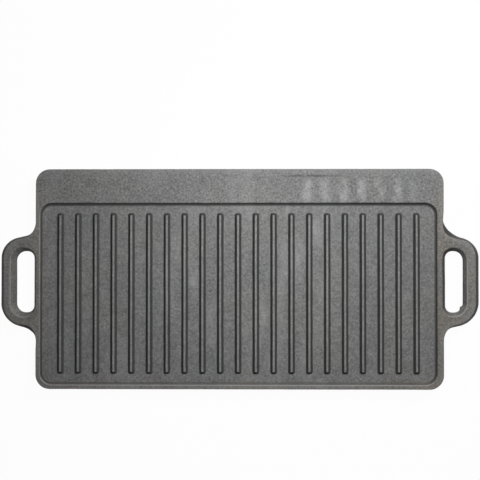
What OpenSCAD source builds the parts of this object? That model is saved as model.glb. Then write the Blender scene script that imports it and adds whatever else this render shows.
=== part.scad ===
// Reversible cast iron griddle plate that lies over two burners of a camp stove.
// The plate is one iron casting. Its nodes are the named regions of that casting: the flat floor,
// the land over the grease trough with the step beside it, the two rims, the two ends with their loop
// handles, and the ribs.
// Each region is cut where one section runs into the next, so neighbours share their joint faces.
// X runs along the length, Y points to the side with the wide land, Z points up out of the ribs.
// The origin is under the middle of the plate, on the surface that the foot of the rim rests on.

/* [Plate] */
// Length of the plate without its handles
plate_length = 426; // [360:1:560]
// Width of the plate
plate_width = 230; // [200:1:320]
// Height from the foot of the rim to its top
plate_height = 14; // [13:0.5:20]
// Radius of the plate's corners, seen from above
plate_corner = 15; // [13:0.5:24]
// Lean of the outer wall in degrees, with the plate widest at its top
wall_draft = 10.5; // [4:0.5:13]
// Thickness of the iron under the floor and under the land
web_thickness = 5; // [4:0.1:6.5]
// Rounding of the outer wall's top edge
top_edge_round = 0.8; // [0.4:0.1:1.2]
// Rounding of the outer wall's bottom edge
foot_edge_round = 2.5; // [1:0.1:3]

/* [Ribbed side] */
// Width of the rim's top along three sides
rim_width = 5.2; // [4:0.1:8]
// Width of the flat land along the fourth side
land_width = 35.5; // [26:0.5:60]
// Distance that the basin and its ribs lie off the plate's middle, towards the left handle
basin_shift = 1.2; // [0:0.1:1.6]
// Depth of the ribbed basin below the rim
basin_depth = 3; // [2:0.1:4]
// Radius of the basin's corners, seen from above
basin_corner = 12.5; // [6:0.5:16]
// Lean of the basin's wall in degrees
basin_draft = 22; // [5:1:35]
// Fillet where the basin's wall meets the floor
basin_fillet = 1; // [0.4:0.1:1.4]
// Rounding of the rim's inner edge
rim_edge_round = 0.6; // [0.2:0.1:1]

/* [Ribs] */
// Number of ribs
rib_count = 21; // [11:1:25]
// Width of a rib at the floor
rib_width = 6.2; // [4:0.1:8]
// Width of a rib at its top, before its edges are rounded
rib_top_width = 3.2; // [2.2:0.1:3.8]
// Corner radius of a rib's ends at the floor, seen from above
rib_corner = 2; // [1.9:0.1:3]
// Rounding of a rib's top edges
rib_edge_round = 0.6; // [0.2:0.1:0.8]
// Gap between a rib's end and the basin's wall at the floor
rib_end_gap = 9.8; // [5:0.1:20]
// Gap between the outermost rib and the basin's wall at the floor
rib_side_gap = 17.5; // [8:0.5:30]

/* [Smooth side] */
// Width of the rim's foot
foot_width = 6; // [5:0.1:8]
// Lean of the inner wall of the foot in degrees
tray_draft = 7.5; // [3:0.5:12]
// Rounding of the foot's inner edge
foot_inner_round = 0.8; // [0.3:0.1:1.2]
// Distance that the trough's step lies outside the basin's edge above it
step_shift = 2; // [1:0.1:4]
// Lean of the trough's step in degrees
step_draft = 30; // [10:1:45]
// Rounding of the trough's step
step_round = 1; // [0.3:0.1:1.4]

/* [Handles] */
// Distance that a handle reaches out from the plate
handle_reach = 37; // [34:0.5:50]
// Distance that the handles lie from the plate's middle line, away from the wide land
handle_shift = 3; // [0:0.5:8]
// Width of a handle where its arms meet the plate
handle_root = 100; // [94:0.5:112]
// Width of a handle at its grip, before its corners are rounded
handle_tip = 83; // [78:0.5:92]
// Radius of the handle's outer corners
handle_corner = 22; // [16:0.5:24]
// Fillet where an arm meets the plate, seen from above
root_fillet = 15; // [6:0.5:18]
// Depth of a handle's top below the rim's top, so that the turned plate still lies on its rim
handle_drop = 0.4; // [0.2:0.1:1]
// Thickness of a handle
handle_thickness = 9.2; // [7:0.1:11]
// Depth of the handle's widest line below the handle's top
handle_ridge_depth = 4.4; // [3.5:0.1:5.5]
// Distance that the outer edge draws in from its widest line to the top
handle_top_draw = 2; // [1:0.1:3]
// Distance that the outer edge draws in from its widest line to the underside
handle_low_draw = 1.8; // [1:0.1:3]
// Rounding of the handle's edges
handle_edge_round = 1.5; // [0.5:0.1:1.8]
// Width of the hand slot at its narrowest
slot_width = 18.5; // [14:0.5:20]
// Length of the hand slot at its narrowest
slot_length = 64.5; // [50:0.5:68]
// Distance of the slot from the plate's edge
slot_gap = 2.2; // [1.8:0.1:4]
// Distance that the slot opens out from its narrowest line to the top
slot_top_flare = 2.7; // [1:0.1:3]
// Distance that the slot opens out from its narrowest line to the underside
slot_low_flare = 2; // [1:0.1:3]

/* [Hidden] */
$fn = 96;
// Largest turn between two points of a rounding, in degrees
arc_step = 11;
// Distance that a cut runs past the face it opens
cut_over = 1;
// Depth that a handle's root runs into the plate's wall
root_bite = 0.3;
// Room between a fillet or wall foot and the joint faces beside it
seam_margin = 2;

// Heights
floor_top = plate_height - basin_depth;
tray_top = floor_top - web_thickness;
trough_top = plate_height - web_thickness;
handle_top = plate_height - handle_drop;
handle_low = handle_top - handle_thickness;
handle_ridge = handle_top - handle_ridge_depth;

// Distances in from the plate's outline
wall_run = plate_height * tan(wall_draft);
foot_inner = wall_run + foot_width;
basin_run = basin_depth * tan(basin_draft);
seam_inset = foot_inner + trough_top * tan(tray_draft) + seam_margin;

// Basin and ribs
basin_length = plate_length - 2 * rim_width;
basin_width = plate_width - rim_width - land_width;
basin_y = (rim_width - land_width) / 2;
rib_length = basin_width - 2 * (basin_run + rib_end_gap);
rib_span = basin_length - 2 * (basin_run + rib_side_gap) - rib_width;
rib_pitch = rib_span / (rib_count - 1);
rib_run = (rib_width - rib_top_width) / 2;

// Joint faces between the regions
seam_x = plate_length / 2 - seam_inset;
seam_y = plate_width / 2 - seam_inset;
land_seam = basin_y + basin_width / 2 - basin_run - basin_fillet - seam_margin;
step_y = basin_y + basin_width / 2 + step_shift;
step_run = (trough_top - tray_top) * tan(step_draft);
step_seam = step_y + step_run + step_round;

// Handle
arm_slope = atan((handle_root - handle_tip) / 2 / handle_reach);
root_end = handle_root / 2 + root_fillet + seam_margin;
slot_u = slot_gap + slot_width / 2;

iron = [0.40, 0.40, 0.40];
rim_iron = [0.42, 0.41, 0.40];
rib_iron = [0.45, 0.45, 0.45];

function rib_name(number) = str("rib_", number < 10 ? "0" : "", number);

// Outlines with rounded corners

function xy(corner) = [corner[0], corner[1]];

function unit(vector) = vector / norm(vector);

function turned(vector, angle) = [
    vector[0] * cos(angle) - vector[1] * sin(angle),
    vector[0] * sin(angle) + vector[1] * cos(angle)
];

// Points of the arc that rounds one corner of an outline, where a corner is [x, y, radius]
function corner_arc(before, corner, after) =
    let (
        to_before = unit(xy(before) - xy(corner)),
        to_after = unit(xy(after) - xy(corner)),
        half_angle = acos(to_before * to_after) / 2,
        centre = xy(corner) + unit(to_before + to_after) * corner[2] / sin(half_angle),
        start = xy(corner) + to_before * corner[2] / tan(half_angle) - centre,
        turn = 180 - 2 * half_angle,
        way = cross(to_before, to_after) > 0 ? -1 : 1,
        steps = ceil(turn / arc_step)
    )
    [for (i = [0:steps]) centre + turned(start, way * turn * i / steps)];

// Points of a closed outline given by its corners, rounded where a corner has a radius
function rounded(corners) =
    let (count = len(corners))
    [for (i = [0:count - 1])
        each corners[i][2] == 0
            ? [xy(corners[i])]
            : corner_arc(corners[(i + count - 1) % count], corners[i], corners[(i + 1) % count])];

// Solids swept from an edge profile

// Slab with rounded corners. Its edge profile is the 2D child, with x measured out from the centre
// of a corner and y up. The profile reaches x = corner where the slab has the size that is given.
module profiled_slab(length, width, corner) {
    half_x = length / 2 - corner;
    half_y = width / 2 - corner;
    for (turn = [0, 180]) {
        rotate(turn) {
            if (half_y > 0) {
                translate([half_x, half_y, 0])
                    rotate([90, 0, 0])
                        linear_extrude(2 * half_y)
                            children();
            }
            if (half_x > 0) {
                translate([-half_x, half_y, 0])
                    rotate([90, 0, 90])
                        linear_extrude(2 * half_x)
                            children();
            }
            translate([half_x, half_y, 0])
                rotate_extrude(angle = 90)
                    children();
            translate([-half_x, half_y, 0])
                rotate(90)
                    rotate_extrude(angle = 90)
                        children();
        }
    }
}

// Fills the middle of a profiled slab between two heights
module slab_core(length, width, corner, low, high) {
    translate([corner - length / 2, corner - width / 2, low])
        cube([length - 2 * corner, width - 2 * corner, high - low]);
}

// Solid through a stack of rings that have the same number of points and mirror themselves across
// the X axis. Strips between mirrored points close it at both ends.
module loft(rings) {
    count = len(rings[0]);
    last = (len(rings) - 1) * count;
    sides = [
        for (level = [0:count:last - count], i = [0:count - 1])
            let (next = (i + 1) % count)
            [level + i, level + count + i, level + count + next, level + next]
    ];
    strips = [for (i = [0:count / 2 - 2]) [i, i + 1, count - 2 - i, count - 1 - i]];
    high_strips = [for (strip = strips) [for (i = [3:-1:0]) last + strip[i]]];
    polyhedron([for (ring = rings) each ring], concat(strips, sides, high_strips));
}

// Body of the plate

module outer_slab() {
    profiled_slab(plate_length, plate_width, plate_corner)
        polygon(rounded([
            [0, 0, 0],
            [plate_corner - wall_run, 0, foot_edge_round],
            [plate_corner, plate_height, top_edge_round],
            [0, plate_height, 0]
        ]));
    slab_core(plate_length, plate_width, plate_corner, 0, plate_height);
}

module basin_cut() {
    flare = basin_corner + 2 * rim_edge_round;
    translate([-basin_shift, basin_y, 0]) {
        profiled_slab(basin_length, basin_width, basin_corner)
            polygon(rounded([
                [0, floor_top, 0],
                [basin_corner - basin_run, floor_top, basin_fillet],
                [basin_corner, plate_height, rim_edge_round],
                [flare, plate_height, 0],
                [flare, plate_height + cut_over, 0],
                [0, plate_height + cut_over, 0]
            ]));
        slab_core(basin_length, basin_width, basin_corner, floor_top, plate_height + cut_over);
    }
}

// Hollow inside the foot, as high as the trough
module foot_hollow() {
    corner = plate_corner - foot_inner;
    flare = corner + 2 * foot_inner_round;
    profiled_slab(plate_length - 2 * foot_inner, plate_width - 2 * foot_inner, corner)
        polygon(rounded([
            [0, -cut_over, 0],
            [flare, -cut_over, 0],
            [flare, 0, 0],
            [corner, 0, foot_inner_round],
            [corner - trough_top * tan(tray_draft), trough_top, 0],
            [0, trough_top, 0]
        ]));
    slab_core(plate_length - 2 * foot_inner, plate_width - 2 * foot_inner, corner, -cut_over, trough_top);
}

// Space below the smooth cooking face and, past the step, below the trough's higher face
module below_smooth_face() {
    rotate([90, 0, 90])
        linear_extrude(plate_length, center = true)
            polygon(rounded([
                [-plate_width / 2, -2 * cut_over, 0],
                [plate_width / 2, -2 * cut_over, 0],
                [plate_width / 2, trough_top, 0],
                [step_y + step_run, trough_top, step_round],
                [step_y, tray_top, step_round],
                [-plate_width / 2, tray_top, 0]
            ]));
}

module plate_body() {
    difference() {
        outer_slab();
        basin_cut();
        intersection() {
            foot_hollow();
            below_smooth_face();
        }
    }
}

// Regions of the plate

// Box that spans the plate's height and a little more
module region(low_x, high_x, low_y, high_y) {
    translate([low_x, low_y, -cut_over])
        cube([high_x - low_x, high_y - low_y, plate_height + 2 * cut_over]);
}

module floor_plate() {
    color(iron)
        intersection() {
            plate_body();
            region(-seam_x, seam_x, -seam_y, land_seam);
        }
}

module land_step() {
    color(iron)
        intersection() {
            plate_body();
            region(-seam_x, seam_x, land_seam, step_seam);
        }
}

module grease_land() {
    color(iron)
        intersection() {
            plate_body();
            region(-seam_x, seam_x, step_seam, seam_y);
        }
}

module front_rim() {
    color(rim_iron)
        intersection() {
            plate_body();
            difference() {
                region(-plate_length, plate_length, root_end - handle_shift, plate_width);
                region(-seam_x, seam_x, 0, seam_y);
            }
        }
}

module back_rim() {
    color(rim_iron)
        intersection() {
            plate_body();
            difference() {
                region(-plate_length, plate_length, -plate_width, -root_end - handle_shift);
                region(-seam_x, seam_x, -seam_y, 0);
            }
        }
}

// Ribs

module rib(number) {
    place = (number - 1) * rib_pitch - rib_span / 2 - basin_shift;
    color(rib_iron)
        translate([place, basin_y, 0]) {
            profiled_slab(rib_width, rib_length, rib_corner)
                polygon(rounded([
                    [0, floor_top, 0],
                    [rib_corner, floor_top, 0],
                    [rib_corner - rib_run, plate_height, rib_edge_round],
                    [0, plate_height, 0]
                ]));
            slab_core(rib_width, rib_length, rib_corner, floor_top, plate_height);
        }
}

// Handles, built with u out from the plate's edge and v along it

// Distance of the plate's outer wall from the plate's outline at a height
function wall_inset(z) =
    let (into_round = max(0, z - plate_height + top_edge_round))
    (plate_height - z) * tan(wall_draft)
        + top_edge_round - sqrt(pow(top_edge_round, 2) - pow(into_round, 2));

// Half width of a handle at a distance from the plate's edge
function arm_v(u, inset) = handle_root / 2 - u * tan(arm_slope) - inset / cos(arm_slope);

// Outline of a handle at a height, drawn in by an inset, with its root inside the plate's wall
function handle_ring(inset, z) =
    let (
        tip = handle_reach - inset,
        wall = -wall_inset(z),
        corner = handle_corner - inset,
        fillet = root_fillet + inset,
        outline = rounded([
            [wall - root_bite, -root_end, 0],
            [wall, -arm_v(wall, inset), fillet],
            [tip, -arm_v(tip, inset), corner],
            [tip, arm_v(tip, inset), corner],
            [wall, arm_v(wall, inset), fillet],
            [wall - root_bite, root_end, 0]
        ])
    )
    [for (point = outline) [point[0], point[1], z]];

// Edge of a handle from its underside to its top, as [inset, z]
function handle_edge() =
    let (
        inside = handle_corner / 2,
        profile = rounded([
            [inside, handle_low, 0],
            [handle_low_draw, handle_low, handle_edge_round],
            [0, handle_ridge, handle_edge_round],
            [handle_top_draw, handle_top, handle_edge_round],
            [inside, handle_top, 0]
        ])
    )
    [for (i = [1:len(profile) - 2]) profile[i]];

module handle_loop() {
    loft([for (edge = handle_edge()) handle_ring(edge[0], edge[1])]);
}

module slot_cut() {
    half = slot_width / 2;
    low = handle_low - cut_over;
    low_slope = slot_low_flare / (handle_ridge - handle_low);
    widest = half + slot_top_flare + 2 * handle_edge_round;
    translate([slot_u, 0, 0])
        profiled_slab(slot_width, slot_length, half)
            polygon(rounded([
                [0, low, 0],
                [half + low_slope * (handle_ridge - low), low, 0],
                [half, handle_ridge, handle_edge_round],
                [half + slot_top_flare, plate_height, handle_edge_round],
                [widest, plate_height, 0],
                [widest, plate_height + cut_over, 0],
                [0, plate_height + cut_over, 0]
            ]));
}

// Sets a handle on one end of the plate, where way is 1 for the right end and -1 for the left
module at_end(way) {
    translate([way * plate_length / 2, -handle_shift, 0])
        rotate(way > 0 ? 0 : 180)
            children();
}

// End of the plate between the rims, with its handle
module handle_end(way) {
    ends = [way * seam_x, way * plate_length];
    color(rim_iron)
        difference() {
            union() {
                intersection() {
                    plate_body();
                    region(min(ends), max(ends), -root_end - handle_shift, root_end - handle_shift);
                }
                at_end(way)
                    handle_loop();
            }
            at_end(way)
                slot_cut();
        }
}

module left_handle() {
    handle_end(-1);
}

module right_handle() {
    handle_end(1);
}

floor_plate();
land_step();
grease_land();
front_rim();
back_rim();
left_handle();
right_handle();
for (number = [1:rib_count]) rib(number);
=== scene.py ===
import math
from collections import namedtuple

import bpy
import numpy as np
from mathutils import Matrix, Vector, geometry, noise


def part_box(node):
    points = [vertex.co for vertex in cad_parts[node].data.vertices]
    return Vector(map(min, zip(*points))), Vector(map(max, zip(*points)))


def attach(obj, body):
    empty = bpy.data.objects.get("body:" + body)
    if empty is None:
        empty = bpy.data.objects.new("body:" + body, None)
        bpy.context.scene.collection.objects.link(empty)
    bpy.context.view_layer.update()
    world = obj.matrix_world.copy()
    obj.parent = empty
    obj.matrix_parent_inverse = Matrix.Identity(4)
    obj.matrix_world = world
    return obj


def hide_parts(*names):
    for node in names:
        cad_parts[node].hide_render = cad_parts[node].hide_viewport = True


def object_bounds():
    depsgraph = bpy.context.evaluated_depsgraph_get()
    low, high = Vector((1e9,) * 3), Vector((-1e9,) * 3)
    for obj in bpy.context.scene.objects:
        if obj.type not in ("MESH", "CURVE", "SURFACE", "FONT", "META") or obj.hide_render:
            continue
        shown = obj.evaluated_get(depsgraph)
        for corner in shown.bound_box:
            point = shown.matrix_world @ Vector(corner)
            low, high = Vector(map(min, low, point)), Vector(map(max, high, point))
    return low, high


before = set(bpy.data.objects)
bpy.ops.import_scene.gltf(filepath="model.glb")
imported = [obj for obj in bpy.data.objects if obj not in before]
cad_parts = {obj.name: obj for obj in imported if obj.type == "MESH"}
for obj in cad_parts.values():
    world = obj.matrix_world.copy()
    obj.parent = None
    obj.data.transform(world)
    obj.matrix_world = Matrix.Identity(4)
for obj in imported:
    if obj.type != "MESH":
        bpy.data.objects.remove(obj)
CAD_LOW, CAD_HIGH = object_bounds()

# Looks of a reversible griddle plate: one dark iron casting with a ribbed basin, a rim and loop handles
# Lengths are in millimetres, as on a drawing, and become metres in meshes and materials
MM = 0.001
# Lengths below this count as nothing
TINY = 1e-6


def box_mm(name):
    """Lowest and highest corner of a CAD node in millimetres."""
    return [np.array(corner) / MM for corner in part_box(name)]


# Sizes taken from the frame
RIM_HIGH = box_mm("front_rim")[1]
END_LOW, END_HIGH = box_mm("right_handle")
WEB_LOW, WEB_HIGH = box_mm("floor_plate")
TOP = RIM_HIGH[2]
FLOOR = WEB_HIGH[2]
SMOOTH_FACE = WEB_LOW[2]
TROUGH_FACE = box_mm("grease_land")[0][2]
HANDLE_Y = (END_LOW[1] + END_HIGH[1]) / 2
RIB_NODES = sorted(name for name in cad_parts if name.startswith("rib_"))
PLATE_NODES = sorted(set(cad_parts) - set(RIB_NODES))
RIB_PITCH = box_mm(RIB_NODES[1])[0][0] - box_mm(RIB_NODES[0])[0][0]
# The basin and its ribs lie a little left of the plate's middle
BASIN_X = (box_mm(RIB_NODES[0])[0][0] + box_mm(RIB_NODES[-1])[1][0]) / 2

# Mesh density: gaps between points along outlines and inside flat faces
POINT_GAP = 1.5
FILL_GAP = 4.5
# Points on each arc of a section, and at least on each arc of an outline
ARC_POINTS = 5
LEAST_ARC_POINTS = 3
# First run of a flat face beside an edge, and rows of points over the underside's step
FLAT_RUN = 1.2
STEP_ROWS = 7

# Plan of the plate
PLATE_CORNER = 15.0
RIM_WIDTH = 5.6
LAND_WIDTH = 35.5
BASIN_CORNER = 12.5
BACK_RIM_WIDTH = 4.5

# Section of the plate
WALL_DRAFT = math.radians(10.5)
TOP_EDGE = 0.8
FOOT_EDGE = 2.5
FOOT_WIDTH = 6.0
FOOT_INNER_EDGE = 0.8
TRAY_DRAFT = math.radians(7.5)
TRAY_FILLET = 1.6
BASIN_DRAFT = math.radians(22)
BASIN_EDGE = 0.9
BASIN_FILLET = 1.4
LEFT_FILLET = 0.8
FRONT_FILLET = 2.0
STEP_Y = 81.5
STEP_RUN = 1.75

# Sides of the handles, which the hand-made mould left unequal
HandleSide = namedtuple("HandleSide", "root_half tip_half tip_corner root_fillet")
RIGHT_LOW = HandleSide(50.0, 41.5, 26.0, 13.0)
RIGHT_HIGH = HandleSide(51.0, 41.5, 22.0, 25.0)
LEFT_HIGH = HandleSide(50.8, 42.3, 22.0, 14.5)
LEFT_LOW = HandleSide(51.5, 41.5, 25.0, 18.5)

# Section of the handles
HANDLE_TOP = 13.6
HANDLE_RIDGE = 9.2
HANDLE_UNDER = 4.4
HANDLE_TOP_DRAW = 2.0
HANDLE_UNDER_DRAW = 1.8
HANDLE_EDGE = 1.5
ROOT_BLEND = 12.0
# The bevel is wider at the tips, and in the fillets at two of the roots: place and added width of each
LEFT_TIP_BEVEL = 1.5
RIGHT_TIP_BEVEL = 2.2
ROOT_BEVELS = [((217.0, 52.0), 4.2), ((-219.0, -56.0), 2.4)]
ROOT_BEVEL_REACH = 10.0

# Hand slots, with their near side at the plate and their far side at the grip
SLOT_WIDTH = 17.9
SLOT_LENGTH = 63.6
SLOT_GAP = 2.2
SLOT_NEAR_CORNER = 7.0
SLOT_FAR_CORNER = 9.5
SLOT_UNDER_FLARE = 2.0
RIGHT_NEAR_FLARE = 4.2
RIGHT_FAR_FLARE = 3.7
LEFT_NEAR_FLARE = 2.5
LEFT_FAR_FLARE = 6.3
LEFT_FAR_EDGE = 2.5

# Share of a groove's painted shade, with some seasoning build-up, on the handles' bevels, where it grows
# to the whole at the tips
BEVEL_SHADE_AND_GRIME = 0.75
# Nearness to the middle of a root's wider bevel from which the bevel is painted fully dark, as shade with
# some seasoning build-up
ROOT_SHADE_AND_GRIME_LIMIT = 0.7
# Share of that painted shade, with some seasoning build-up, on the slots' sides, near the plate and far
# out at the grip
RIGHT_NEAR_SHADE_AND_GRIME = 1.0
LEFT_NEAR_SHADE_AND_GRIME = 0.7
SLOT_FAR_SHADE_AND_GRIME = 0.35
# Share of that painted shade, with some seasoning build-up, in the fillet of the basin's walls, but the
# left one, which has it all, and at the walls' top
WALL_SHADE_AND_GRIME = 0.85
WALL_TOP_SHADE_AND_GRIME = 0.35
# Shares of that painted shade which are taken off where the basin's wall and the slots' lower ends face
# the lamps
LIT_WALL_SHADE_CUT = 0.25
LIT_SLOT_SHADE_CUT = 0.7
# Share of a painted highlight, partly metal rubbed bare, on the slots' lips, and on the rim's outer edge
# and the ribs
SLOT_LIP = 0.9
SOFT_LIP = 0.3
# Way that the basin's wall most lit by the lamps looks, and cosine of the angle to such a way at which a
# side starts to count as facing it
BASIN_LIT_WAY = (0.4, 1.0)
FACING_START = -0.2

# Outlines before their edges are rounded, which takes a little off them
EDGE_LOSS = TOP_EDGE * ((1 + math.sin(WALL_DRAFT)) / math.cos(WALL_DRAFT) - 1)
RIDGE_LEAN = math.atan(HANDLE_TOP_DRAW / (HANDLE_TOP - HANDLE_RIDGE))
RIDGE_LOSS = HANDLE_EDGE * (1 / math.cos(RIDGE_LEAN) - 1)
HALF_LENGTH = RIM_HIGH[0] + EDGE_LOSS
HALF_WIDTH = RIM_HIGH[1] + EDGE_LOSS
HANDLE_TIP = END_HIGH[0] + RIDGE_LOSS

# Nub of iron that the mould's joint left on the ridge of the right slot
NUB_PLACE = np.array([232.0, -30.5])
NUB_HEIGHT = 2.2
NUB_REACH = 1.9
NUB_DEPTH = 3.0

# Ribs
RIB_TOP_WIDTH = 2.2
RIB_CORNER = 1.6
RIB_TOP_CORNER = 0.3
RIB_EDGE = 0.6
RIB_FILLET = 1.6
RIB_SINK = 0.05
# Ring of a rib's section up to which its side is painted dark, as shade with some seasoning build-up;
# nearer to the plate's ends this lies farther up on the side that looks outwards, and by half as much
# farther down on the other, a lean that is painted shade alone
RIB_SHADE_AND_GRIME_RING = ARC_POINTS + 3.3
RIB_SHADE_LEAN = 2.6
# First ring of a rib's top edge, painted brighter as a highlight, partly metal rubbed bare
RIB_LIP_RING = ARC_POINTS + 4

# Unevenness of the casting: height and size of its long swells and of its small lumps
SWELL = 0.10
SWELL_SIZE = 26.0
LUMP = 0.09
LUMP_SIZE = 6.0
# Seed of that unevenness, which makes every run give the same plate
UNEVEN_SEED = 7

# Paint of the iron: noises in repeats per metre
GRAIN_SCALE = 430.0
FINE_SCALE = 1500.0
SPECK_SCALE = 620.0
MOTTLE_SCALE = 110.0
STAIN_SCALE = 34.0
STREAK_SCALE = 36.0
CLOUD_SCALE = 16.0
# Usual span of a noise's values
NOISE_SPAN = (0.3, 0.7)

# Levels of the iron, and colours and marks as multiples of them
IRON_LEVEL = 0.15
RIB_LEVEL = 0.156
COOL_LEVEL = 0.97
COOL_TINT = (0.99, 0.997, 1.01)
WARM_LEVEL = 1.03
WARM_TINT = (1.005, 1.0, 0.98)
SPECK_LEVEL = 1.9
WIPED_LEVEL = 1.7
SMEAR_LEVEL = 1.9
RUB_LEVEL = 2.0
SCRATCH_LEVEL = 0.3
# Lips are painted highlights, on the rim's outer edge, the ribs and the slots partly metal rubbed bare
LIP_LEVEL = 1.7
# Grooves, fillets and steep sides take painted shade with some seasoning build-up
SHADE_AND_GRIME_LEVEL = 0.25
GRIP_LEVEL = 0.93
OIL_LEVEL = 1.06
OIL_TINT = (1.0, 0.96, 0.85)
RUST_TINT = (1.0, 0.87, 0.79)

# Depth of the patterns, and the share of it that is left on the basin's floor
STREAK_DEPTH = 0.08
MOTTLE_DEPTH = 0.16
GRAIN_DEPTH = 0.5
FLOOR_CALM = 0.78
# Span of a noise over which a mark comes up, and its share at the span's two ends
CLOUD_SPAN = (0.35, 0.65)
SPECK_SPAN = (0.70, 0.76)
SPECK_SHARE = (0.0, 0.55)
WIPED_SPAN = (0.56, 0.74)
WIPED_SHARE = (0.0, 0.3)
SMEAR_SPAN = (0.35, 0.6)
SMEAR_SHARE = (0.15, 0.55)
RUB_PATCH_SPAN = (0.34, 0.66)
RUB_PATCH_SHARE = (0.15, 0.85)
RUB_SPECKLE_SPAN = (0.3, 0.6)
RUB_SPECKLE_SHARE = (0.5, 1.0)
SCRATCH_SPAN = (0.4, 0.6)
SCRATCH_SHARE = (0.25, 0.7)
OIL_SPAN = (0.40, 0.62)
OIL_SHARE = (0.35, 0.9)
RUST_SPAN = (0.35, 0.65)
SHADE_AND_GRIME_SPAN = (0.3, 0.6)
SHADE_AND_GRIME_SHARE = (0.75, 1.0)
# Share of the painted highlight's colour on a lip
LIP_SHARE = 0.7
# Marks of the upper side fade out between these depths below the basin's floor
UPPER_FADE = (2.0, 1.0)

# Gloss and relief of the iron
ROUGHNESS = (0.5, 0.64)
METALLIC = 0.15
SPECULAR = 0.12
FINE_RELIEF = 0.4
RELIEF_STRENGTH = 0.5
RELIEF_DEPTH = 0.5

# Rub marks on the land, one to each rib, as from the ribs of a plate that lay on it
RUB_X = (62.0, 181.0)
RUB_X_FADE = 6.0
RUB_Y = (82.0, 104.5)
RUB_Y_FADE = 4.0
RUB_SHIFT = 3.0
RUB_WOBBLE = 2.6
# Span of the marks' wave over which one comes up
RUB_STRIPE_SPAN = (-0.6, 0.7)

# Dark scratch near the land's edge
SCRATCH_X = (48.0, 105.0)
SCRATCH_X_FADE = 8.0
SCRATCH_Y = (106.7, 108.6)
SCRATCH_Y_FADE = 0.5
SCRATCH_WOBBLE = 0.6

# Pale smears between the ribs: place and half width of each, and their length over their width
SMEARS = [
    ((62, 22), 8),
    ((80, 52), 8),
    ((50, 74), 4),
    ((23, -38), 9),
    ((-47, -4), 8),
    ((-28, -48), 9),
]
SMEAR_STRETCH = 3.3

# Oily film on the rim and the handles: distances over which it comes up, to the ends and to the back
FILM_X = (200.0, 212.0)
FILM_Y = (-104.0, -110.0)
# Rust in the film: place and reach of each stain
RUST_STAINS = [((211, 43), 34), ((211, -50), 40), ((-175, -112), 45), ((190, -110), 40)]

# Studio floor, in metres, with the share of its own white; the rest shows the shadow
STAGE_HALF = 3.0
STAGE_LEVEL = -0.0002
STAGE_GREY = 0.8
STAGE_ROUGHNESS = 0.9
STAGE_GLOW = 0.97

# Camera, in metres and degrees, with the width that it takes in at the height of the plate's top
CAMERA_DISTANCE = 0.886
CAMERA_WIDTH = 0.5003
CAMERA_AIM = (0.0009, 0.0407)
CAMERA_TILT = (0.65, 0.73)


# Outlines and sections


def unit(vector):
    return vector / np.linalg.norm(vector)


def turned(vector, angle):
    cosine, sine = math.cos(angle), math.sin(angle)
    return np.array([vector[0] * cosine - vector[1] * sine, vector[0] * sine + vector[1] * cosine])


def corner_arc(before, corner, after, radius, count=None):
    """Points of the arc that rounds a corner between two neighbours."""
    way_in, way_out = unit(corner - before), unit(after - corner)
    turn = math.atan2(way_in[0] * way_out[1] - way_in[1] * way_out[0], way_in @ way_out)
    side = turned(way_in, math.copysign(math.pi / 2, turn)) * radius
    centre = corner - way_in * radius * math.tan(abs(turn) / 2) + side
    count = count or max(LEAST_ARC_POINTS, math.ceil(abs(turn) * radius / POINT_GAP))
    return [centre + turned(-side, turn * i / (count - 1)) for i in range(count)]


def section(*corners):
    """Points of an open path of (inset, height, radius) corners, with one count on every arc."""
    places = [np.array(corner[:2], float) for corner in corners]
    points = [places[0]]
    for i in range(1, len(corners) - 1):
        radius = corners[i][2]
        points.extend(corner_arc(places[i - 1], places[i], places[i + 1], radius, ARC_POINTS))
    return np.array([*points, places[-1]])


def blended(first, *others):
    """Insets and heights of a section at each point of an outline, where others have a share in it."""
    between = first + sum((other - first) * share[:, None, None] for other, share in others)
    return between[:, :, 0], between[:, :, 1]


def rounded_outline(corners):
    """Evenly spread points of a closed outline of (x, y, radius) corners, counter-clockwise."""
    places = [np.array(corner[:2], float) for corner in corners]
    points = []
    for i, corner in enumerate(corners):
        after = places[(i + 1) % len(places)]
        points.extend(corner_arc(places[i - 1], places[i], after, corner[2]))
    result = []
    for here, there in zip(points, points[1:] + points[:1]):
        parts = max(1, round(np.linalg.norm(there - here) / POINT_GAP))
        result.extend(here + (there - here) * i / parts for i in range(parts))
    return np.array(result)


def rounded_box(low, high, radius):
    corners = [(high[0], low[1]), (high[0], high[1]), (low[0], high[1]), (low[0], low[1])]
    return rounded_outline([(*corner, radius) for corner in corners])


def inward(outline):
    """Unit vectors that point inwards from a counter-clockwise outline."""
    along = np.roll(outline, -1, axis=0) - np.roll(outline, 1, axis=0)
    across = np.column_stack([-along[:, 1], along[:, 0]])
    return across / np.linalg.norm(across, axis=1)[:, None]


def drawn_in(outline, inset):
    """An outline moved inwards by an inset, which may differ from point to point."""
    return outline + inward(outline) * np.reshape(inset, (-1, 1))


def smooth_step(value, start, end):
    share = np.clip((value - start) / (end - start), 0, 1)
    return share * share * (3 - 2 * share)


def facing_share(outline, facing_way):
    """Share at each point of an outline, most where its inner side looks a given way."""
    return smooth_step(inward(outline) @ unit(np.array(facing_way)), FACING_START, 1)


def bump(outline, place, reach):
    """Weight of each point by its nearness to a place."""
    return np.exp(-np.sum((outline - place) ** 2, axis=1) / reach ** 2)


def inside(points, loop):
    """Which of the points lie inside a closed loop."""
    x, y = points[:, 0, None], points[:, 1, None]
    here, there = loop, np.roll(loop, -1, axis=0)
    spans = (here[:, 1] > y) != (there[:, 1] > y)
    rise = np.where(there[:, 1] == here[:, 1], 1, there[:, 1] - here[:, 1])
    crossing = here[:, 0] + (y - here[:, 1]) / rise * (there[:, 0] - here[:, 0])
    return (spans & (x < crossing)).sum(axis=1) % 2 == 1


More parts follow.
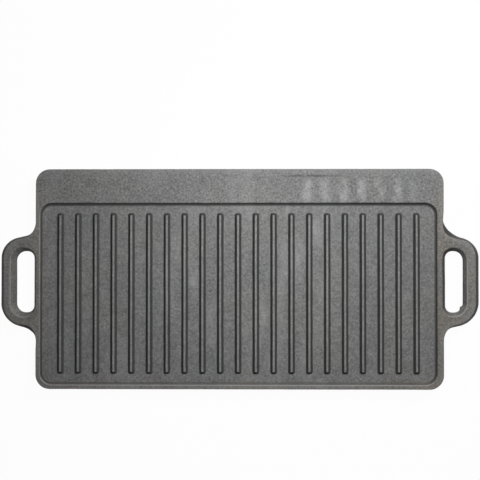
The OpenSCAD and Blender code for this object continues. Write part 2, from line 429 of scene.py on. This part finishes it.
def between_loops(points, loops):
    """Which of the points lie inside the first loop and outside the others."""
    result = inside(points, loops[0])
    for hole in loops[1:]:
        result &= ~inside(points, hole)
    return result


def clear_of(points, loops, room):
    """The points that lie farther than some room from the points of every loop."""
    for loop in loops:
        nearest = np.array([np.sum((loop - point) ** 2, axis=1).min() for point in points])
        points = points[nearest > room ** 2]
    return points


def staggered(low, high, gap):
    """Places over a box in staggered rows."""
    rows = np.arange(low[1] + gap / 2, high[1], gap * math.sqrt(3) / 2)
    columns = np.arange(low[0], high[0], gap)
    return np.array([(x + gap / 2 * (i % 2), y) for i, y in enumerate(rows) for x in columns])


# Mesh building


class Shell:
    """Points, faces and painted weights of a mesh under construction, in millimetres."""

    def __init__(self):
        self.points = []
        self.faces = []
        self.groove = []
        # Weights at each point: groove for painted shade with some seasoning build-up, edge for painted
        # highlights
        self.edge = []

    def add(self, plan, height, groove=0.0, edge=0.0):
        """Adds the points of a plan and returns their numbers; a height or weight may be one for all."""
        first, count = len(self.points), len(plan)
        self.points.extend(np.column_stack([plan, np.broadcast_to(height, count)]))
        self.groove.extend(np.broadcast_to(groove, count))
        self.edge.extend(np.broadcast_to(edge, count))
        return np.arange(first, first + count)

    def bands(self, rings):
        """Faces between closed rings that follow one another."""
        for low, high in zip(rings, rings[1:]):
            band = np.column_stack([low, np.roll(low, -1), np.roll(high, -1), high])
            self.faces.extend(band.tolist())

    def fill(self, loops, height, extra=None, down=False):
        """Triangles between the first loop of point numbers and the others, which are holes in it.
        Points at a height that depends on their place are spread between the loops."""
        plans = [np.array([self.points[i][:2] for i in loop]) for loop in loops]
        spots = staggered(plans[0].min(axis=0), plans[0].max(axis=0), FILL_GAP)
        spots = clear_of(spots, plans, FILL_GAP / 2)
        if extra is not None:
            extra = clear_of(extra, plans, POINT_GAP / 2)
            spots = np.concatenate([extra, clear_of(spots, [extra], FILL_GAP / 2)])
        spots = spots[between_loops(spots, plans)]
        numbers = np.concatenate([*loops, self.add(spots, height(spots))])
        edges = []
        for plan in plans:
            first = len(edges)
            edges.extend((first + i, first + (i + 1) % len(plan)) for i in range(len(plan)))
        places = np.concatenate([*plans, spots])
        inner_only = 1
        made = geometry.delaunay_2d_cdt([Vector(place) for place in places], edges, [], inner_only, TINY)
        sources, triangles = made[3], made[2]
        triangles = np.array([[sources[i][0] for i in triangle] for triangle in triangles])
        triangles = triangles[between_loops(places[triangles].mean(axis=1), plans)]
        self.faces.extend(numbers[triangles[:, ::-1] if down else triangles].tolist())


def uneven(points):
    """The points moved a little, as on a sand casting, and kept inside the CAD box."""
    noise.seed_set(UNEVEN_SEED)
    moved = []
    for point in points:
        swell = noise.noise_vector(Vector(point) / SWELL_SIZE) * SWELL
        lump = noise.noise_vector(Vector(point) / LUMP_SIZE) * LUMP
        moved.append(point + np.array(swell + lump))
    return np.clip(moved, np.array(CAD_LOW) / MM, np.array(CAD_HIGH) / MM)


def make_piece(name, shell, material, nodes):
    """A smooth mesh object from a shell, which rides on the plate and stands for CAD nodes."""
    mesh = bpy.data.meshes.new(name)
    mesh.from_pydata((uneven(shell.points) * MM).tolist(), [], shell.faces)
    mesh.polygons.foreach_set("use_smooth", [True] * len(mesh.polygons))
    for weight, values in (("groove", shell.groove), ("edge", shell.edge)):
        mesh.attributes.new(weight, "FLOAT", "POINT").data.foreach_set("value", values)
    mesh.materials.append(material)
    piece = bpy.data.objects.new(name, mesh)
    bpy.context.scene.collection.objects.link(piece)
    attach(piece, "root")
    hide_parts(*nodes)


# Casting


def handle_corners(way, up, side):
    """Corners at the root and the tip of a handle's side; way and up are 1 or -1 along X and Y."""
    root = (way * HALF_LENGTH, HANDLE_Y + up * side.root_half, side.root_fillet)
    tip = (way * HANDLE_TIP, HANDLE_Y + up * side.tip_half, side.tip_corner)
    return [root, tip]


def silhouette():
    """Outline of the plate and its handles from above, from the plate's lower right corner on."""
    return rounded_outline([
        (HALF_LENGTH, -HALF_WIDTH, PLATE_CORNER),
        *handle_corners(1, -1, RIGHT_LOW),
        *reversed(handle_corners(1, 1, RIGHT_HIGH)),
        (HALF_LENGTH, HALF_WIDTH, PLATE_CORNER),
        (-HALF_LENGTH, HALF_WIDTH, PLATE_CORNER),
        *handle_corners(-1, 1, LEFT_HIGH),
        *reversed(handle_corners(-1, -1, LEFT_LOW)),
        (-HALF_LENGTH, -HALF_WIDTH, PLATE_CORNER),
    ])


def handle_share(plan):
    """Share of the handles' section at each point: 0 on the plate and 1 out on a handle."""
    return smooth_step(np.abs(plan[:, 0]) - HALF_LENGTH, 0, ROOT_BLEND)


def top_height(plan):
    """Height of the rim, the land and the handles, whose tops lie a little lower."""
    return TOP - (TOP - HANDLE_TOP) * handle_share(plan)


def floor_height(plan):
    return FLOOR


def step_share(plan):
    return smooth_step(plan[:, 1], STEP_Y, STEP_Y + STEP_RUN)


def underside_height(plan):
    """Height of the smooth face below the ribs and, past the step, of the trough's face."""
    return SMOOTH_FACE + (TROUGH_FACE - SMOOTH_FACE) * step_share(plan)


def handle_under_height(plan):
    return HANDLE_UNDER


def wall_inset(height):
    return (TOP - height) * math.tan(WALL_DRAFT)


def share_above_ridge(heights):
    return np.clip((heights - HANDLE_RIDGE) / (HANDLE_TOP - HANDLE_RIDGE), 0, 1)


def outer_rings(shell, outline):
    """Rings up the outer wall and over its top edge, running out into the handles."""
    handle = section(
        (HANDLE_UNDER_DRAW + HANDLE_EDGE + FLAT_RUN, HANDLE_UNDER),
        (HANDLE_UNDER_DRAW, HANDLE_UNDER, HANDLE_EDGE),
        (0, HANDLE_RIDGE, HANDLE_EDGE),
        (HANDLE_TOP_DRAW, HANDLE_TOP, HANDLE_EDGE),
        (HANDLE_TOP_DRAW + HANDLE_EDGE + FLAT_RUN, HANDLE_TOP),
    )
    top_edge = section(
        (wall_inset(HANDLE_UNDER), HANDLE_UNDER),
        (0, TOP, TOP_EDGE),
        (TOP_EDGE + FLAT_RUN, TOP),
    )
    wall = np.linspace(top_edge[0], top_edge[1], len(handle) - len(top_edge) + 1, endpoint=False)
    insets, heights = blended(np.concatenate([wall, top_edge[1:]]), (handle, handle_share(outline)))
    at_roots = [bump(outline, place, ROOT_BEVEL_REACH) for place, _ in ROOT_BEVELS]
    root_bevel = sum(width * at_root for (_, width), at_root in zip(ROOT_BEVELS, at_roots))
    at_tip = handle_share(outline) * inward(outline)[:, 0] ** 2
    tip_bevel = np.where(outline[:, 0] > 0, RIGHT_TIP_BEVEL, LEFT_TIP_BEVEL)
    insets += (root_bevel + tip_bevel * at_tip)[:, None] * share_above_ridge(heights)
    # Painted shade, with some seasoning build-up, on the handles' bevels and in two of the roots' fillets
    handle_shade_and_grime = BEVEL_SHADE_AND_GRIME * handle_share(outline) + (1 - BEVEL_SHADE_AND_GRIME) * at_tip
    bevel_shade_and_grime = np.maximum(smooth_step(sum(at_roots), 0, ROOT_SHADE_AND_GRIME_LIMIT), handle_shade_and_grime)
    # The bevel ends on the second ring of the upper edge's arc
    bevel_end = 2 * ARC_POINTS + 2
    rings = []
    for i in range(len(handle)):
        above_bevel = i > bevel_end
        shade_and_grime = 0.0 if above_bevel else bevel_shade_and_grime
        plan = drawn_in(outline, insets[:, i])
        rings.append(shell.add(plan, heights[:, i], shade_and_grime, SOFT_LIP * above_bevel))
    shell.bands(rings)
    return rings


def slot_outline(way):
    """Outline of a hand slot at its narrowest; way is 1 for the right handle, -1 for the left."""
    near = way * (HALF_LENGTH + SLOT_GAP)
    far = near + way * SLOT_WIDTH
    low, high = HANDLE_Y - SLOT_LENGTH / 2, HANDLE_Y + SLOT_LENGTH / 2
    corners = [
        (near, low, SLOT_NEAR_CORNER),
        (far, low, SLOT_FAR_CORNER),
        (far, high, SLOT_FAR_CORNER),
        (near, high, SLOT_NEAR_CORNER),
    ]
    return rounded_outline(corners[::way])


def slot_section(top_flare, top_edge):
    """Section of a slot's side from the handle's top, over the ridge, to the handle's underside."""
    return section(
        (-top_flare - top_edge, HANDLE_TOP),
        (-top_flare, HANDLE_TOP, top_edge),
        (0, HANDLE_RIDGE, HANDLE_EDGE),
        (-SLOT_UNDER_FLARE, HANDLE_UNDER, HANDLE_EDGE),
        (-SLOT_UNDER_FLARE - HANDLE_EDGE, HANDLE_UNDER),
    )


def slot_rings(shell, way):
    """Rings from a handle's top, down through its slot, to its underside."""
    outline = slot_outline(way)
    if way > 0:
        near = slot_section(RIGHT_NEAR_FLARE, HANDLE_EDGE)
        far = slot_section(RIGHT_FAR_FLARE, HANDLE_EDGE)
        near_shade_and_grime = RIGHT_NEAR_SHADE_AND_GRIME
    else:
        near = slot_section(LEFT_NEAR_FLARE, HANDLE_EDGE)
        far = slot_section(LEFT_FAR_FLARE, LEFT_FAR_EDGE)
        near_shade_and_grime = LEFT_NEAR_SHADE_AND_GRIME
    out = np.abs(outline[:, 0]) - HALF_LENGTH - SLOT_GAP
    far_share = smooth_step(out, 0, SLOT_WIDTH)
    insets, heights = blended(near, (far, far_share))
    # Painted shade with some seasoning build-up on the slot's sides, less where they face the lamps, and
    # painted highlights on its lips
    slot_shade_and_grime = near_shade_and_grime + (SLOT_FAR_SHADE_AND_GRIME - near_shade_and_grime) * far_share
    slot_shade_and_grime *= 1 - LIT_SLOT_SHADE_CUT * np.clip(inward(outline)[:, 1], 0, 1)
    lip = SLOT_LIP * facing_share(outline, (-way, 1))
    nub = NUB_HEIGHT * bump(outline, NUB_PLACE, NUB_REACH)
    rings = []
    for i in range(len(near)):
        off_ridge = np.abs(heights[:, i] - HANDLE_RIDGE)
        plan = drawn_in(outline, insets[:, i] + nub * np.clip(1 - off_ridge / NUB_DEPTH, 0, 1))
        lift = (top_height(plan) - HANDLE_TOP) * share_above_ridge(heights[:, i])
        on_edge = 0 < i < ARC_POINTS
        shade_and_grime = slot_shade_and_grime if i >= ARC_POINTS else 0.0
        rings.append(shell.add(plan, heights[:, i] + lift, shade_and_grime, lip * on_edge))
    shell.bands(rings)
    return rings


def basin_section(fillet):
    """Section of the basin's wall from the rim's top to the floor."""
    run = (TOP - FLOOR) * math.tan(BASIN_DRAFT)
    return section(
        (-BASIN_EDGE, TOP),
        (0, TOP, BASIN_EDGE),
        (run, FLOOR, fillet),
        (run + fillet + FLAT_RUN / 2, FLOOR),
    )


def basin_rings(shell):
    """Rings from the rim's top, down the basin's wall, to the floor between the ribs."""
    half = HALF_LENGTH - RIM_WIDTH
    low = (BASIN_X - half, BACK_RIM_WIDTH - HALF_WIDTH)
    high = (BASIN_X + half, HALF_WIDTH - LAND_WIDTH)
    outline = rounded_box(low, high, BASIN_CORNER)
    left_share = np.clip(inward(outline)[:, 0], 0, 1)
    front_share = np.clip(-inward(outline)[:, 1], 0, 1)
    left_wall = (basin_section(LEFT_FILLET), left_share)
    front_wall = (basin_section(FRONT_FILLET), front_share)
    insets, heights = blended(basin_section(BASIN_FILLET), left_wall, front_wall)
    # Painted highlights on the lips of the walls that face the lamps, and painted shade with some
    # seasoning build-up in the fillets, less on those walls
    lit_share = facing_share(outline, BASIN_LIT_WAY)
    wall_shade_and_grime = WALL_SHADE_AND_GRIME * (1 - LIT_WALL_SHADE_CUT * lit_share ** 2)
    wall_shade_and_grime += (1 - wall_shade_and_grime) * left_share
    rings = []
    for i in range(insets.shape[1]):
        on_edge = 0 < i <= ARC_POINTS
        at_wall_top = i == ARC_POINTS
        in_fillet = ARC_POINTS < i <= 2 * ARC_POINTS
        shade_and_grime = in_fillet * wall_shade_and_grime + at_wall_top * WALL_TOP_SHADE_AND_GRIME * (1 - lit_share)
        plan = drawn_in(outline, insets[:, i])
        rings.append(shell.add(plan, heights[:, i], shade_and_grime, on_edge * lit_share))
    shell.bands(rings)
    return rings


def handle_runs(outline):
    """Numbers of the silhouette's points that lie out on the right handle, and on the left one."""
    return [np.where(way * outline[:, 0] > HALF_LENGTH + TINY)[0] for way in (1, -1)]


def foot_rings(shell, outline, wall_ring):
    """Rings from the underside's faces, round the foot, up to the height of the handles' underside.
    Returns them with the points of the last ring that cross each handle's root."""
    plans, numbers, roots = [], [], []
    start, count = 0, 0
    for run in handle_runs(outline):
        before, after = outline[run[0] - 1], outline[run[-1] + 1]
        parts = round(np.linalg.norm(after - before) / POINT_GAP)
        across = np.linspace(before, after, parts, endpoint=False)[1:]
        plans.extend([outline[start:run[0]], across])
        numbers.extend([np.arange(start, run[0]), np.full(len(across), -1)])
        count += run[0] - start
        roots.append(slice(count, count + len(across)))
        count += len(across)
        start = run[-1] + 1
    plate = np.concatenate([*plans, outline[start:]])
    numbers = np.concatenate([*numbers, np.arange(start, len(outline))])

    foot_inset = wall_inset(0) + FOOT_WIDTH
    sections = []
    for face in (SMOOTH_FACE, TROUGH_FACE):
        face_inset = foot_inset + face * math.tan(TRAY_DRAFT)
        sections.append(section(
            (face_inset + TRAY_FILLET + FLAT_RUN, face),
            (face_inset, face, TRAY_FILLET),
            (foot_inset, 0, FOOT_INNER_EDGE),
            (wall_inset(0), 0, FOOT_EDGE),
            (wall_inset(HANDLE_UNDER), HANDLE_UNDER),
        ))
    insets, heights = blended(sections[0], (sections[1], step_share(plate)))
    last = len(sections[0]) - 1
    rings = [shell.add(drawn_in(plate, insets[:, i]), heights[:, i]) for i in range(last)]
    top_plan = drawn_in(plate, insets[:, last])
    top_ring = wall_ring[numbers]
    for root in roots:
        top_ring[root] = shell.add(top_plan[root], HANDLE_UNDER)
    rings.append(top_ring)
    shell.bands(rings)
    return rings, [top_ring[root] for root in roots]


def casting():
    """Shell of the whole plate without its ribs."""
    shell = Shell()
    outline = silhouette()
    outer = outer_rings(shell, outline)
    slots = [slot_rings(shell, way) for way in (1, -1)]
    basin = basin_rings(shell)
    foot, roots = foot_rings(shell, outline, outer[0])
    shell.fill([outer[-1], slots[0][0], slots[1][0], basin[0]], top_height)
    shell.fill([basin[-1]], floor_height)
    columns = np.arange(-HALF_LENGTH, HALF_LENGTH, FILL_GAP)
    margin = STEP_RUN / 2
    rows = np.linspace(STEP_Y - margin, STEP_Y + STEP_RUN + margin, STEP_ROWS)
    step = np.array([(x, y) for y in rows for x in columns])
    shell.fill([foot[0]], underside_height, extra=step, down=True)
    for run, slot, root in zip(handle_runs(outline), slots, roots):
        loop = np.concatenate([outer[0][run[0] - 1:run[-1] + 2], root[::-1]])
        shell.fill([loop, slot[-1]], handle_under_height, down=True)
    return shell


def rib(name):
    """Shell of one rib, with a fillet at its foot that runs into the floor."""
    shell = Shell()
    low, high = box_mm(name)
    middle = (low + high)[:2] / 2
    half = (high - low)[:2] / 2
    outline = rounded_box(-half, half, RIB_CORNER)
    core = np.clip(outline, RIB_CORNER - half, half - RIB_CORNER)
    outward = (outline - core) / RIB_CORNER
    run = half[0] - RIB_TOP_WIDTH / 2
    base = FLOOR - RIB_SINK
    side = section(
        (-RIB_FILLET - FLAT_RUN / 2, base),
        (-RIB_SINK / 2, base, RIB_FILLET),
        (run, TOP, RIB_EDGE),
        (run + RIB_EDGE, TOP),
    )
    outer_side = outward[:, 0] * middle[0] / HALF_LENGTH
    # Painted shade with some seasoning build-up up the rib's sides, and a painted highlight on its top
    # edge
    shade_and_grime_top = RIB_SHADE_AND_GRIME_RING + RIB_SHADE_LEAN * np.maximum(outer_side, outer_side / 2)
    rings = []
    for i, (inset, height) in enumerate(side):
        radius = max(RIB_TOP_CORNER, RIB_CORNER - inset)
        plan = middle + core * (half - inset - radius) / (half - RIB_CORNER) + outward * radius
        shade_and_grime = np.clip(shade_and_grime_top - i, 0, 1)
        on_edge = i >= RIB_LIP_RING
        rings.append(shell.add(plan, height, shade_and_grime, SOFT_LIP * on_edge))
    shell.bands(rings)
    shell.fill([rings[-1]], lambda plan: TOP)
    shell.fill([rings[0]], lambda plan: base, down=True)
    return shell


# Materials


def shader_node(tree, kind, inputs=None, **settings):
    """A shader node with its settings and its inputs, which are values or other nodes' outputs."""
    made = tree.nodes.new(kind)
    for key, value in settings.items():
        setattr(made, key, value)
    for key, value in (inputs or {}).items():
        if isinstance(value, bpy.types.NodeSocket):
            tree.links.new(value, made.inputs[key])
        else:
            made.inputs[key].default_value = value
    return made


def noise_value(tree, place, scale, detail=4.0, roughness=0.6):
    """Noise over the object's own coordinates, with its scale in repeats per metre."""
    inputs = {"Vector": place, "Scale": scale, "Detail": detail, "Roughness": roughness}
    return shader_node(tree, "ShaderNodeTexNoise", inputs).outputs["Fac"]


def ramp(tree, value, span, ends=(0.0, 1.0)):
    """A value that goes straight from one end to the other while another goes through a span."""
    inputs = {0: value, 1: span[0], 2: span[1], 3: ends[0], 4: ends[1]}
    return shader_node(tree, "ShaderNodeMapRange", inputs).outputs["Result"]


def in_metres(lengths):
    return [length * MM for length in lengths]


def combined(tree, operation, *values):
    """The values taken together, two at a time, by a math node."""
    result = values[0]
    for value in values[1:]:
        pair = {0: result, 1: value}
        result = shader_node(tree, "ShaderNodeMath", pair, operation=operation).outputs[0]
    return result


def changed(tree, operation, value):
    """A value after a math operation on it alone."""
    return shader_node(tree, "ShaderNodeMath", {0: value}, operation=operation).outputs[0]


def window(tree, value, low, high, fade):
    """1 where a coordinate lies between two marks, with a soft change at both of them."""
    rise = ramp(tree, value, in_metres((low - fade, low + fade)))
    fall = ramp(tree, value, in_metres((high + fade, high - fade)))
    return combined(tree, "MULTIPLY", rise, fall)


def nearness(tree, place, centre, reach):
    """1 at a centre, falling to 0 at its reach."""
    inputs = {0: place, 1: in_metres(centre)}
    apart = shader_node(tree, "ShaderNodeVectorMath", inputs, operation="DISTANCE").outputs["Value"]
    return ramp(tree, apart, in_metres((reach, 0.0)))


def mixed(tree, share, first, second, blend="MIX"):
    """A mix of two colours, which a mix node takes in its sockets 6 and 7 and gives in its output 2."""
    inputs = {0: share, 6: first, 7: second}
    return shader_node(tree, "ShaderNodeMix", inputs, data_type="RGBA", blend_type=blend).outputs[2]


def grey(level, tint=(1.0, 1.0, 1.0)):
    return (level * tint[0], level * tint[1], level * tint[2], 1.0)


def wobble(tree, value, reach):
    """A noise as a shift of up to a reach to either side."""
    return ramp(tree, value, NOISE_SPAN, in_metres((-reach, reach)))


def rub_share(tree, axes, stain, mottle, grain):
    """Share of the patchy rub marks on the land."""
    place = combined(tree, "ADD", axes["X"], RUB_SHIFT * MM, wobble(tree, stain, RUB_WOBBLE))
    place = combined(tree, "ADD", place, wobble(tree, mottle, RUB_WOBBLE / 2))
    turns = combined(tree, "MULTIPLY", place, 2 * math.pi / (RIB_PITCH * MM))
    stripe = ramp(tree, changed(tree, "COSINE", turns), RUB_STRIPE_SPAN)
    along = window(tree, axes["X"], *RUB_X, RUB_X_FADE)
    across = window(tree, axes["Y"], *RUB_Y, RUB_Y_FADE)
    patches = ramp(tree, mottle, RUB_PATCH_SPAN, RUB_PATCH_SHARE)
    speckle = ramp(tree, grain, RUB_SPECKLE_SPAN, RUB_SPECKLE_SHARE)
    return combined(tree, "MULTIPLY", stripe, along, across, patches, speckle)


def scratch_share(tree, axes, stain, mottle):
    """Share of the dark scratch near the land's edge."""
    bent_y = combined(tree, "ADD", axes["Y"], wobble(tree, stain, SCRATCH_WOBBLE))
    across = window(tree, bent_y, *SCRATCH_Y, SCRATCH_Y_FADE)
    along = window(tree, axes["X"], *SCRATCH_X, SCRATCH_X_FADE)
    patches = ramp(tree, mottle, SCRATCH_SPAN, SCRATCH_SHARE)
    return combined(tree, "MULTIPLY", across, along, patches)


def film_share(tree, axes):
    """Share of the oily film: full on the handles and on the rim at the ends and at the back."""
    at_ends = ramp(tree, changed(tree, "ABSOLUTE", axes["X"]), in_metres(FILM_X))
    at_back = ramp(tree, axes["Y"], in_metres(FILM_Y))
    return combined(tree, "MAXIMUM", at_ends, at_back)


def iron_material(name, level):
    """Seasoned cast iron: sandy grey with clouds, streaks, rub marks, oil, rust, painted highlights on
    lips and painted shade with some seasoning build-up in grooves.
    """
    material = bpy.data.materials.new(name)
    material.use_nodes = True
    tree = material.node_tree
    shader = tree.nodes["Principled BSDF"]
    place = shader_node(tree, "ShaderNodeTexCoord").outputs["Object"]
    axes = shader_node(tree, "ShaderNodeSeparateXYZ", {0: place}).outputs
    squeeze = {"Vector": place, "Scale": (1.0, 1 / SMEAR_STRETCH, 1.0)}
    stretched = shader_node(tree, "ShaderNodeMapping", squeeze).outputs[0]

    grain = noise_value(tree, place, GRAIN_SCALE, roughness=0.7)
    fine = noise_value(tree, place, FINE_SCALE, detail=2.0)
    speck = noise_value(tree, place, SPECK_SCALE, detail=0.0)
    mottle = noise_value(tree, place, MOTTLE_SCALE)
    stain = noise_value(tree, place, STAIN_SCALE)
    streak = noise_value(tree, stretched, STREAK_SCALE)
    cloud = noise_value(tree, place, CLOUD_SCALE, detail=3.0, roughness=0.5)

    # Sandy grey with specks and wiped streaks
    cool = grey(level * COOL_LEVEL, COOL_TINT)
    warm = grey(level * WARM_LEVEL, WARM_TINT)
    colour = mixed(tree, ramp(tree, cloud, CLOUD_SPAN), cool, warm)
    calm = ramp(tree, axes["Z"], in_metres((FLOOR, TOP)), (FLOOR_CALM, 1.0))
    for value, depth in ((streak, STREAK_DEPTH), (mottle, MOTTLE_DEPTH), (grain, GRAIN_DEPTH)):
        pattern = ramp(tree, value, NOISE_SPAN, (1 - depth, 1 + depth))
        colour = mixed(tree, calm, colour, pattern, "MULTIPLY")
    specks = ramp(tree, speck, SPECK_SPAN, SPECK_SHARE)
    colour = mixed(tree, specks, colour, grey(level * SPECK_LEVEL))
    wiped = ramp(tree, streak, WIPED_SPAN, WIPED_SHARE)
    colour = mixed(tree, wiped, colour, grey(level * WIPED_LEVEL))

    # Marks on the upper side
    upper_side = ramp(tree, axes["Z"], in_metres(FLOOR - depth for depth in UPPER_FADE))
    for (x, y), reach in SMEARS:
        near = nearness(tree, stretched, (x, y / SMEAR_STRETCH, FLOOR), reach)
        patches = ramp(tree, mottle, SMEAR_SPAN, SMEAR_SHARE)
        smear = combined(tree, "MULTIPLY", upper_side, near, patches)
        colour = mixed(tree, smear, colour, grey(level * SMEAR_LEVEL))
    rub = combined(tree, "MULTIPLY", upper_side, rub_share(tree, axes, stain, mottle, grain))
    colour = mixed(tree, rub, colour, grey(level * RUB_LEVEL))
    scratch = combined(tree, "MULTIPLY", upper_side, scratch_share(tree, axes, stain, mottle))
    colour = mixed(tree, scratch, colour, grey(level * SCRATCH_LEVEL))

    # Darker handles, oil and rust
    out = changed(tree, "ABSOLUTE", axes["X"])
    grip = ramp(tree, out, in_metres((HALF_LENGTH, HALF_LENGTH + ROOT_BLEND)), (1.0, GRIP_LEVEL))
    colour = mixed(tree, 1.0, colour, grip, "MULTIPLY")
    film = film_share(tree, axes)
    oil = combined(tree, "MULTIPLY", film, ramp(tree, stain, OIL_SPAN, OIL_SHARE))
    colour = mixed(tree, oil, colour, grey(OIL_LEVEL, OIL_TINT), "MULTIPLY")
    for (x, y), reach in RUST_STAINS:
        near = nearness(tree, place, (x, y, TOP), reach)
        rust = combined(tree, "MULTIPLY", near, film, ramp(tree, mottle, RUST_SPAN))
        colour = mixed(tree, rust, colour, grey(1.0, RUST_TINT), "MULTIPLY")

    # Painted highlights on lips, and painted shade with some seasoning build-up in grooves
    edge = shader_node(tree, "ShaderNodeAttribute", attribute_name="edge").outputs["Fac"]
    lip = combined(tree, "MULTIPLY", edge, LIP_SHARE)
    colour = mixed(tree, lip, colour, grey(level * LIP_LEVEL))
    groove = shader_node(tree, "ShaderNodeAttribute", attribute_name="groove").outputs["Fac"]
    shade_and_grime = combined(tree, "MULTIPLY", groove, ramp(tree, grain, SHADE_AND_GRIME_SPAN, SHADE_AND_GRIME_SHARE))
    colour = mixed(tree, shade_and_grime, colour, grey(level * SHADE_AND_GRIME_LEVEL))
    tree.links.new(colour, shader.inputs["Base Color"])

    # Gloss and relief
    tree.links.new(ramp(tree, mottle, NOISE_SPAN, ROUGHNESS), shader.inputs["Roughness"])
    shader.inputs["Metallic"].default_value = METALLIC
    shader.inputs["Specular IOR Level"].default_value = SPECULAR
    relief = combined(tree, "ADD", grain, combined(tree, "MULTIPLY", fine, FINE_RELIEF))
    inputs = {"Strength": RELIEF_STRENGTH, "Distance": RELIEF_DEPTH * MM, "Height": relief}
    bumps = shader_node(tree, "ShaderNodeBump", inputs)
    tree.links.new(bumps.outputs["Normal"], shader.inputs["Normal"])
    return material


def seen_rays(tree):
    """1 for rays that show a surface, also mirrored or through glass, and 0 for those that light it."""
    rays = shader_node(tree, "ShaderNodeLightPath").outputs
    kinds = ("Is Camera Ray", "Is Glossy Ray", "Is Transmission Ray")
    return combined(tree, "MAXIMUM", *(rays[kind] for kind in kinds))


def floor_material():
    """Pale studio floor that shows as white and keeps the object's shadow."""
    material = bpy.data.materials.new("studio_floor")
    material.use_nodes = True
    tree = material.node_tree
    shader = tree.nodes["Principled BSDF"]
    shader.inputs["Base Color"].default_value = grey(STAGE_GREY)
    shader.inputs["Roughness"].default_value = STAGE_ROUGHNESS
    glow = shader_node(tree, "ShaderNodeEmission", {"Color": grey(1.0), "Strength": 1.0})
    share = combined(tree, "MULTIPLY", seen_rays(tree), STAGE_GLOW)
    parts = {0: share, 1: shader.outputs[0], 2: glow.outputs[0]}
    both = shader_node(tree, "ShaderNodeMixShader", parts)
    tree.links.new(both.outputs[0], tree.nodes["Material Output"].inputs["Surface"])
    return material


# Stage


def make_floor():
    """Floor just below the plate's foot, so that no two faces lie in one plane."""
    corners = [(-1, -1), (1, -1), (1, 1), (-1, 1)]
    places = [(STAGE_HALF * x, STAGE_HALF * y, STAGE_LEVEL) for x, y in corners]
    mesh = bpy.data.meshes.new("floor")
    mesh.from_pydata(places, [], [(0, 1, 2, 3)])
    mesh.materials.append(floor_material())
    floor = bpy.data.objects.new("floor", mesh)
    bpy.context.scene.collection.objects.link(floor)


def make_light(name, place, size, watts):
    """Round soft light that points at the middle of the plate."""
    lamp = bpy.data.lights.new(name, "AREA")
    lamp.shape = "DISK"
    lamp.size = size
    lamp.energy = watts
    light = bpy.data.objects.new(name, lamp)
    light.location = place
    light.visible_camera = False
    light.rotation_euler = (-Vector(place)).to_track_quat("-Z", "Y").to_euler()
    bpy.context.scene.collection.objects.link(light)


def make_world():
    """Surroundings that show as white to the camera and in gloss, and give no other light."""
    world = bpy.data.worlds.new("studio")
    world.use_nodes = True
    tree = world.node_tree
    background = tree.nodes["Background"]
    background.inputs["Color"].default_value = grey(1.0)
    tree.links.new(seen_rays(tree), background.inputs["Strength"])
    bpy.context.scene.world = world


def make_camera():
    """Camera almost straight above, with the plate below the middle of the frame as in the photo."""
    camera = bpy.data.cameras.new("camera")
    camera.lens = camera.sensor_width * CAMERA_DISTANCE / CAMERA_WIDTH
    rig = bpy.data.objects.new("camera", camera)
    rig.rotation_euler = (math.radians(CAMERA_TILT[0]), math.radians(CAMERA_TILT[1]), 0.0)
    aim = Vector((*CAMERA_AIM, TOP * MM))
    rig.location = aim + rig.rotation_euler.to_matrix() @ Vector((0, 0, CAMERA_DISTANCE))
    bpy.context.scene.collection.objects.link(rig)
    bpy.context.scene.camera = rig


make_camera()
make_world()
make_floor()
make_light("key", place=(0.43, 0.48, 0.57), size=0.4, watts=5.8)
make_light("pool", place=(0.02, 0.11, 0.32), size=0.2, watts=0.69)
bpy.context.scene.view_settings.view_transform = "Standard"

cast_iron = iron_material("cast_iron", IRON_LEVEL)
make_piece("casting", casting(), cast_iron, PLATE_NODES)
rib_iron = iron_material("rib_iron", RIB_LEVEL)
for rib_node in RIB_NODES:
    make_piece(rib_node + "_cast", rib(rib_node), rib_iron, [rib_node])
